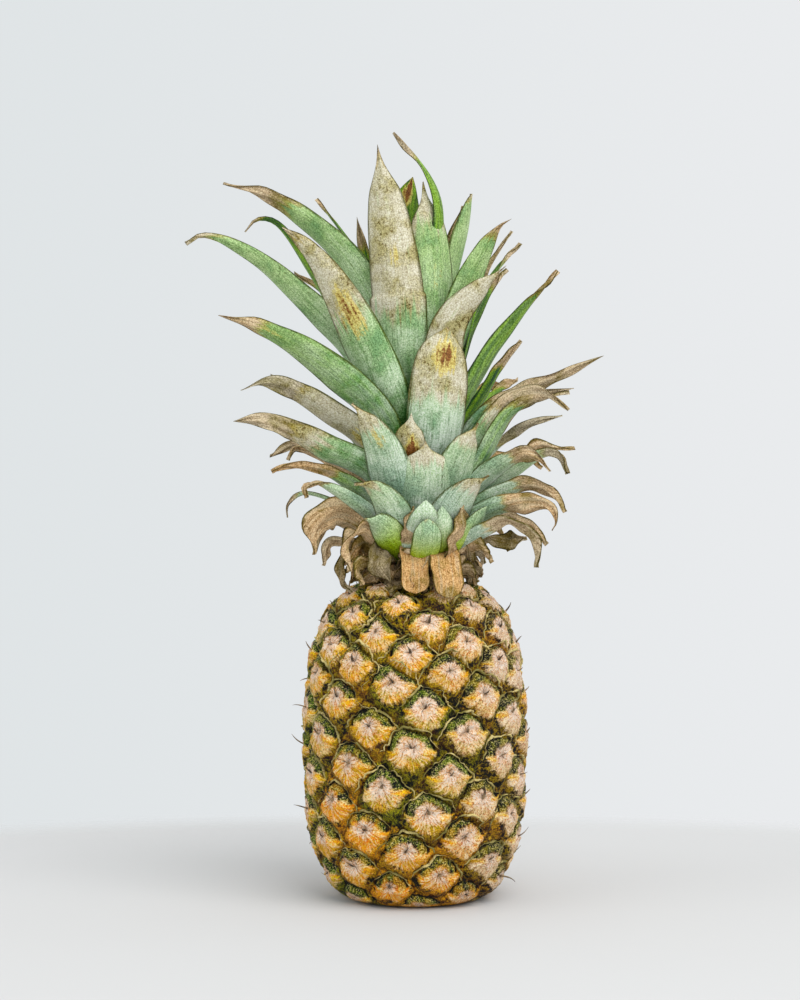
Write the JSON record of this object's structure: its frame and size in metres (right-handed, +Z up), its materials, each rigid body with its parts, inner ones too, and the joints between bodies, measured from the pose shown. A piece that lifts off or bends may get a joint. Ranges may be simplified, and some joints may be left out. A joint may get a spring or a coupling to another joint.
{
  "type": "pineapple",
  "caption": "Whole ripe pineapple with its crown of leaves, standing upright on its cut stalk.",
  "frame": {"origin": "centre of the cut end of the stalk, on the plane the pineapple stands on", "axes": "+Z up along the fruit towards the crown, -Y towards the front"},
  "size_m": [0.207, 0.1428, 0.386],
  "materials": {
    "rind": "satin",
    "stalk": "matte",
    "stem": "matte",
    "leaf": "satin",
    "dry_leaf": "matte"
  },
  "bodies": {
    "root": {"fruit": "rind", "cut_stalk": "stalk", "crown_stem": "stem", "leaf_drooping_left_low": "dry_leaf", "leaf_drooping_left_wide": "dry_leaf", "leaf_drooping_left_front": "dry_leaf", "leaf_fold_left_front": "leaf", "leaf_fold_front": "leaf", "leaf_fold_front_right": "leaf", "leaf_drooping_right_front": "dry_leaf", "leaf_drooping_right_back": "dry_leaf", "leaf_drooping_back_right": "dry_leaf", "leaf_drooping_back": "dry_leaf", "leaf_drooping_back_left": "dry_leaf", "leaf_drooping_left_back": "dry_leaf", "leaf_hooked_left_thin": "leaf", "leaf_hooked_left_small": "leaf", "leaf_orange_tip_left": "leaf", "leaf_short_front_left": "leaf", "leaf_small_front": "leaf", "leaf_short_front_right": "leaf", "leaf_hooked_right_orange": "leaf", "leaf_hooked_right_brown": "leaf", "leaf_back_right_low": "leaf", "leaf_back_low": "leaf", "leaf_back_left_low": "leaf", "leaf_brown_left": "dry_leaf", "leaf_long_left_low": "leaf", "leaf_heart_front": "leaf", "leaf_broad_front_right": "leaf", "leaf_arching_right": "leaf", "leaf_pale_tip_right": "leaf", "leaf_grey_tip_right": "leaf", "leaf_back_right_middle": "leaf", "leaf_back_left_middle": "leaf", "leaf_broad_front_left": "leaf", "leaf_dry_left": "dry_leaf", "leaf_dried_front": "dry_leaf", "leaf_green_right": "leaf", "leaf_brown_arch_right": "leaf", "leaf_left_low_broad": "leaf", "leaf_back_leaf": "leaf", "leaf_upright_front_right": "leaf", "leaf_long_right_brown": "leaf", "leaf_olive_right": "leaf", "leaf_long_right": "leaf", "leaf_back_right_tall": "leaf", "leaf_left_sweeping": "leaf", "leaf_cream_left": "leaf", "leaf_dark_narrow_right": "leaf", "leaf_whitish_right": "leaf", "leaf_hooked_tip_left": "leaf", "leaf_tall_centre": "leaf", "leaf_right_upper": "leaf", "leaf_tall_pale": "leaf", "leaf_back_left_tall": "leaf", "leaf_slender_back_left": "leaf", "leaf_inner_back": "leaf", "leaf_twisted_tip": "leaf", "leaf_pale_right": "leaf"}
  },
  "joints": []
}
